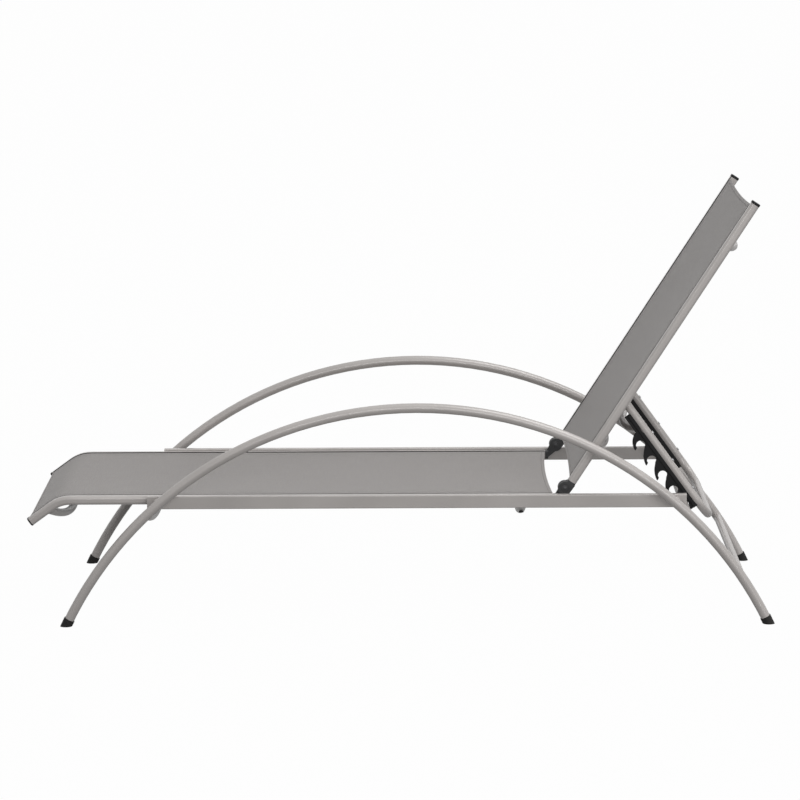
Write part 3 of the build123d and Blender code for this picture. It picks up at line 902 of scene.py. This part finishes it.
def onArch(side):
    # the inner side of an arch tube, seen from the middle of the lounger
    centreY = middle(sideName(side, "bow")).y
    arch = archCircle()

    def place(x, z):
        off = abs(math.hypot(x - archMiddle, z - arch["z"]) - arch["radius"])
        return centreY - side * math.sqrt(max(0.0, arch["tube"] ** 2 - off**2))

    return place


def joinWelds(rings, name, body):
    joinPieces(rings)
    return finishPiece(bpy.context.object, name, body, "framePaint", smooth=70)


def weldFlatEnds(names, name, body):
    rings = []
    for node in names:
        for side in (-1, 1):
            centre, radii, edge = endRing(node, side)
            rings.append(ringOfBead(centre, radii, onPlane(edge - side * weldBead["sink"])))
    joinWelds(rings, name, body)


def weldToArches():
    rings = []
    for side in (-1, 1):
        stubs = [sideName(side, "rear_bow_bracket"), sideName(side, "front_bow_bracket")]
        for node in ["catch_bar", "rear_stretcher"] + stubs:
            lo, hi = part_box(node)
            radii = [(hi.x - lo.x) / 2] * 2
            centre = ((hi.x + lo.x) / 2, (hi.z + lo.z) / 2)
            rings.append(ringOfBead(centre, radii, onArch(side)))
            if node in stubs:
                railFace = min(abs(lo.y), abs(hi.y)) + weldBead["sink"]
                rings.append(ringOfBead(centre, radii, onPlane(side * railFace)))
    joinWelds(rings, "archWelds", "base")


weldFlatEnds(["foot_cross_tube", "mid_cross_tube"], "seatFrameWelds", "base")
backrestTubes = ["lower_backrest_cross_tube", "upper_backrest_cross_tube"]
weldFlatEnds(backrestTubes, "backrestWelds", "backrest")
weldToArches()
print("weld beads laid")

# Caps over the hinge bolts: a shallow dome with a moulded ring, and two rings round it
hingeCap = {
    "radius": 0.0084,
    "rise": 0.0016,
    "lip": 0.0006,
    "rim": [(0, -0.0005), (-0.0002, -0.0001), (-0.0007, 0)],  # past the radius, over the lip
    "ring": 0.005,
    "groove": [(0.0009, 0.0001), (0.0006, -0.0003), (0, -0.0003), (-0.0004, 0)],  # past the ring
    "crown": [(0.6, 0.75), (0.3, 1), (0, 1)],  # shares of the ring's radius and of the rise
    "skirt": 0.0012,
    "nutHeight": 0.0046,
    "sunk": 0.0002,
    "knuckleRings": [(0.0145, 0.0005), (0.0114, 0.0004)],  # radius and thickness
    "ringFacets": (56, 10),
}
latheMerge = 0.000002


def lathe(profile, steps=48):
    # spins a half profile of (radius, height) about Z into a closed shape
    clearSelection()
    bpy.ops.mesh.primitive_plane_add(size=1)
    turned = bpy.context.object
    bpy.ops.object.mode_set(mode="EDIT")
    bpy.ops.mesh.select_all(action="SELECT")
    bpy.ops.mesh.merge(type="CENTER")
    bpy.ops.transform.translate(value=(profile[0][0], 0, profile[0][1]))
    for (r, z), (nextR, nextZ) in zip(profile, profile[1:]):
        step = {"value": (nextR - r, 0, nextZ - z)}
        bpy.ops.mesh.extrude_region_move(TRANSFORM_OT_translate=step)
    bpy.ops.mesh.select_all(action="SELECT")
    bpy.ops.mesh.spin(steps=steps, angle=2 * math.pi, center=(0, 0, 0), axis=(0, 0, 1))
    bpy.ops.mesh.select_all(action="SELECT")
    bpy.ops.mesh.remove_doubles(threshold=latheMerge)
    bpy.ops.mesh.normals_make_consistent(inside=False)
    bpy.ops.object.mode_set(mode="OBJECT")
    return turned


def turnTo(piece, at, direction):
    turn = Vector(direction).to_track_quat("Z", "Y").to_matrix().to_4x4()
    piece.matrix_world = Matrix.Translation(at) @ turn


def addRing(radius, thickness, facets, at, direction):
    clearSelection()
    around, across = facets
    bpy.ops.mesh.primitive_torus_add(
        major_radius=radius, minor_radius=thickness, major_segments=around, minor_segments=across
    )
    ring = bpy.context.object
    turnTo(ring, at, direction)
    return ring


def capProfile(spec, depth):
    # half outline of a cap: skirt, rounded rim, ring groove and crown
    profile = [(0, -depth), (spec["radius"], -depth)]
    profile += [(spec["radius"] + out, spec["lip"] + up) for out, up in spec["rim"]]
    profile += [(spec["ring"] + out, spec["lip"] + up) for out, up in spec["groove"]]
    profile += [(spec["ring"] * out, spec["rise"] * up) for out, up in spec["crown"]]
    return profile


def addHingeCaps():
    spec = hingeCap
    sunk = spec["sunk"]
    for side in (-1, 1):
        lo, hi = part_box(sideName(side, "upper_knuckle"))
        outer, inner = (lo.y, hi.y) if side < 0 else (hi.y, lo.y)
        cap = lathe(capProfile(spec, spec["skirt"]))
        turnTo(cap, (hingeAxis.x, outer - side * sunk, hingeAxis.z), (0, side, 0))
        face = (hingeAxis.x, outer, hingeAxis.z)
        rings = []
        for radius, thickness in spec["knuckleRings"]:
            rings.append(addRing(radius, thickness, spec["ringFacets"], face, (0, side, 0)))
        joinPieces([cap] + rings)
        name = sideName(side, "hinge_bolt_cap")
        finishPiece(cap, name, "backrest", "hingePlastic")
        cover = lathe(capProfile(spec, spec["nutHeight"]))
        coverY = inner - side * (spec["nutHeight"] + sunk)
        turnTo(cover, (hingeAxis.x, coverY, hingeAxis.z), (0, -side, 0))
        name = sideName(side, "hinge_nut_cap")
        finishPiece(cover, name, "backrest", "hingePlastic")


addHingeCaps()
print("hinge caps added")

# Screw and bolt heads: rounded, with a six-lobed recess, in shares of their radius
driveHead = {
    "rise": 0.32,
    "recess": 0.34,
    "depth": 0.3,
    "lobes": 6,
    "lobe": 0.22,
    "lobeReach": 1.1,  # of the recess's radius
    "recessEdge": [(1.04, -0.02), (1.14, 0)],  # of the recess's radius, and height
    "dome": [(0.62, 0.94), (0.86, 0.66), (0.98, 0.2), (1, 0)],  # radius, and share of the rise
    "skirt": 0.2,
    "screwRadius": 0.0037,
    "boltRadius": 0.0071,
    "sunk": 0.0002,
    "screwGap": 0.01,  # a longer gap than this starts the next screw
    "headDepth": 0.0003,
}


def addDriveHead(at, direction, radius):
    spec = driveHead
    top, recess = spec["rise"] * radius, spec["recess"] * radius
    floor = top - spec["depth"] * radius
    profile = [(0, floor), (recess, floor)]
    profile += [(recess * out, top + up * radius) for out, up in spec["recessEdge"]]
    profile += [(radius * out, top * up) for out, up in spec["dome"]]
    profile += [(radius, -spec["skirt"] * radius), (0, -spec["skirt"] * radius)]
    head = lathe(profile, 36)
    for vertex in head.data.vertices:
        out = math.hypot(vertex.co.x, vertex.co.y)
        if 0 < out < recess * spec["lobeReach"]:
            lobe = 1 + spec["lobe"] * math.cos(spec["lobes"] * math.atan2(vertex.co.y, vertex.co.x))
            vertex.co.x *= lobe
            vertex.co.y *= lobe
    turnTo(head, at, direction)
    bpy.ops.object.transform_apply(location=True, rotation=True, scale=True)
    return head


def screwSpots(name):
    # head centres of a row of screws, and the way they point, from their own points
    points = [v.co.copy() for v in nodes[name].data.vertices]
    first, last = min(points, key=lambda p: p.z), max(points, key=lambda p: p.z)
    along = Vector((last.x - first.x, 0, last.z - first.z)).normalized()
    points.sort(key=lambda p: p.dot(along))
    rows = [[points[0]]]
    for point in points[1:]:
        if (point - rows[-1][-1]).dot(along) > driveHead["screwGap"]:
            rows.append([])
        rows[-1].append(point)
    centres = [sum(row, Vector()) / len(row) for row in rows]
    along = (centres[-1] - centres[0]).normalized()
    outward = Vector((-along.z, 0, along.x))
    if outward.x < 0:
        outward.negate()
    spots = []
    for row, centre in zip(rows, centres):
        reach = max((p - centre).dot(outward) for p in row)
        inmost = reach - driveHead["headDepth"]
        head = [p for p in row if (p - centre).dot(outward) > inmost]
        spots.append(sum(head, Vector()) / len(head))
    return spots, outward


def addFasteners():
    spec = driveHead
    for side in (-1, 1):
        spots, outward = screwSpots(sideName(side, "rack_screws"))
        sunk = outward * spec["sunk"]
        heads = [addDriveHead(spot - sunk, outward, spec["screwRadius"]) for spot in spots]
        joinPieces(heads)
        name = sideName(side, "rack_screw_heads")
        finishPiece(bpy.context.object, name, "stand", "platedSteel", smooth=35)
        lo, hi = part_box(sideName(side, "pivot_bolt"))
        at = ((lo.x + hi.x) / 2, hi.y if side < 0 else lo.y, (lo.z + hi.z) / 2)
        head = addDriveHead(at, (0, -side, 0), spec["boltRadius"])
        name = sideName(side, "pivot_bolt_head")
        finishPiece(head, name, "backrest", "platedSteel", smooth=35)


addFasteners()
print("fasteners added")

# Grip ribs round the foot caps
footRib = {
    "count": 3,
    "pitch": 0.0037,
    "fromTop": 0.0082,
    "thickness": 0.0004,
    "proud": 0.0014,
    "facets": (40, 8),
}


def addFootRibs():
    arch = archCircle()
    reach = arch["radius"]
    for side in (-1, 1):
        for end, sense in (("front", -1), ("rear", 1)):
            cap = sideName(side, end + "_foot_cap")
            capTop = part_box(cap)[1].z
            rings = []
            for k in range(footRib["count"]):
                angle = math.acos((capTop - arch["z"]) / reach)
                angle += (footRib["fromTop"] + k * footRib["pitch"]) / reach
                sine, cosine = math.sin(angle), math.cos(angle)
                at = (archMiddle + sense * reach * sine, middle(cap).y, arch["z"] + reach * cosine)
                out = arch["tube"] + footRib["proud"]
                downTube = (sense * cosine, 0, -sine)
                ring = addRing(out, footRib["thickness"], footRib["facets"], at, downTube)
                bpy.ops.object.transform_apply(location=True, rotation=True, scale=True)
                rings.append(ring)
            joinPieces(rings)
            name = sideName(side, end + "_foot_ribs")
            finishPiece(bpy.context.object, name, "base", "footRubber", smooth=60)


addFootRibs()
print("foot ribs added")
